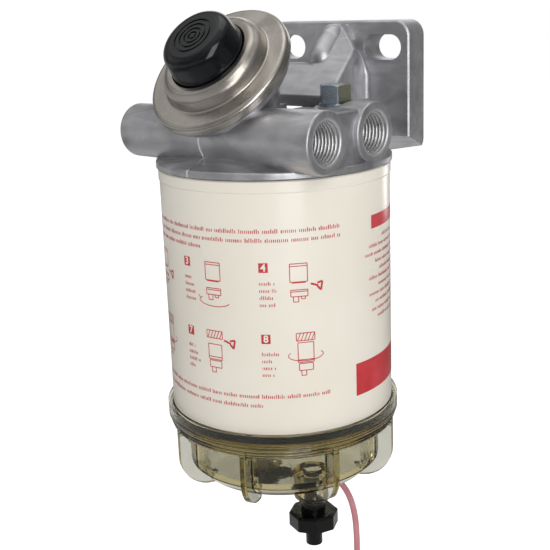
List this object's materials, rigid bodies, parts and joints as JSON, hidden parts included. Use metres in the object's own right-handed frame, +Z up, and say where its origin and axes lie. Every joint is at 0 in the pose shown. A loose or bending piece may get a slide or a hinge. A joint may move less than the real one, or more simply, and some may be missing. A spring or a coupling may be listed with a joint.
{
  "type": "fuel water separator",
  "caption": "Spin-on fuel filter and water separator: cast head with wall bracket, tilted hand primer pump and threaded ports, cream can, clear bowl, drain valve and probe lead.",
  "frame": {"origin": "midway between the two bolt slots, on the bracket's rear mounting face", "axes": "+Z up along the can's axis, +Y out of the bracket's back towards the wall, +X along the fuel ports out of their mouths"},
  "size_m": [0.1162, 0.1192, 0.3687],
  "materials": {
    "cast": "as cast, satin",
    "steel": "plain",
    "pressed_steel": "pressed and brushed, satin",
    "plated_steel": "zinc plated, bright",
    "rubber": "matt",
    "knob": "glossy, lightly oiled",
    "can_paint": "gloss enamel with a red print",
    "media": "resin-treated paper",
    "black_plastic": "matt",
    "bowl": "clear with an amber tint",
    "lead": "satin"
  },
  "bodies": {
    "head": {"head_casting": "cast", "center_stud": "steel", "pump_cover": "pressed_steel", "diaphragm": "rubber", "pump_spring": "steel", "inlet_valve": "rubber", "outlet_valve": "rubber"},
    "pump": {"pump_knob": "knob", "pump_rod": "steel", "upper_plate": "steel", "lower_plate": "steel"},
    "vent_washer": {"vent_seal": "plated_steel"},
    "vent": {"vent_plug": "plated_steel"},
    "can_seal": {"can_gasket": "rubber"},
    "can": {"can_shell": "can_paint", "gasket_retainer": "steel", "thread_plate": "steel", "element_grommet": "rubber", "upper_end_cap": "steel", "filter_media": "media", "center_tube": "steel", "lower_end_cap": "steel", "bottom_ring": "black_plastic"},
    "bowl_ring": {"bowl_seal": "rubber"},
    "bowl": {"bowl": "bowl", "water_probe": "black_plastic", "probe_seal": "rubber", "lead": "lead", "lead_hank": "lead", "lead_tie": "black_plastic", "lead_connector": "black_plastic"},
    "drain_ring": {"drain_seal": "rubber"},
    "drain": {"drain_valve": "black_plastic"}
  },
  "joints": [
    {"name": "pump_push", "type": "slide", "parent": "head", "child": "pump", "axis": [0, -0.7071, 0.7071], "range_m": [-0.01, 0], "stiffness_N_per_m": 1200, "springref_m": 0.0025, "deforming": ["pump_spring", "diaphragm"]},
    {"name": "vent_travel", "type": "slide", "parent": "head", "child": "vent_washer", "axis": [0, 0, 1], "range_m": [0, 0.005]},
    {"name": "vent_turn", "type": "hinge", "parent": "vent_washer", "child": "vent", "pos_m": [0.033, -0.0578, -0.0229], "axis": [0, 0, 1], "range_deg": [0, 1441]},
    {"name": "can_travel", "type": "slide", "parent": "head", "child": "can_seal", "axis": [0, 0, -1], "range_m": [0, 0.01361]},
    {"name": "can_turn", "type": "hinge", "parent": "can_seal", "child": "can", "pos_m": [-0.0007, -0.062, -0.0493], "axis": [0, 0, -1], "range_deg": [0, 2701]},
    {"name": "bowl_travel", "type": "slide", "parent": "can", "child": "bowl_ring", "axis": [0, 0, -1], "range_m": [0, 0.0075]},
    {"name": "bowl_turn", "type": "hinge", "parent": "bowl_ring", "child": "bowl", "pos_m": [-0.0007, -0.062, -0.1666], "axis": [0, 0, -1], "range_deg": [0, 901]},
    {"name": "drain_travel", "type": "slide", "parent": "bowl", "child": "drain_ring", "axis": [0, 0, -1], "range_m": [0, 0.005]},
    {"name": "drain_turn", "type": "hinge", "parent": "drain_ring", "child": "drain", "pos_m": [0.0218, -0.0684, -0.2153], "axis": [0, 0, -1], "range_deg": [0, 901]}
  ],
  "couplings": [
    {"joint": "vent_turn", "follows": "vent_travel", "rad_per_m": 5026.5},
    {"joint": "can_turn", "follows": "can_travel", "rad_per_m": 3463.2},
    {"joint": "bowl_turn", "follows": "bowl_travel", "rad_per_m": 2094.4},
    {"joint": "drain_turn", "follows": "drain_travel", "rad_per_m": 3141.6}
  ]
}
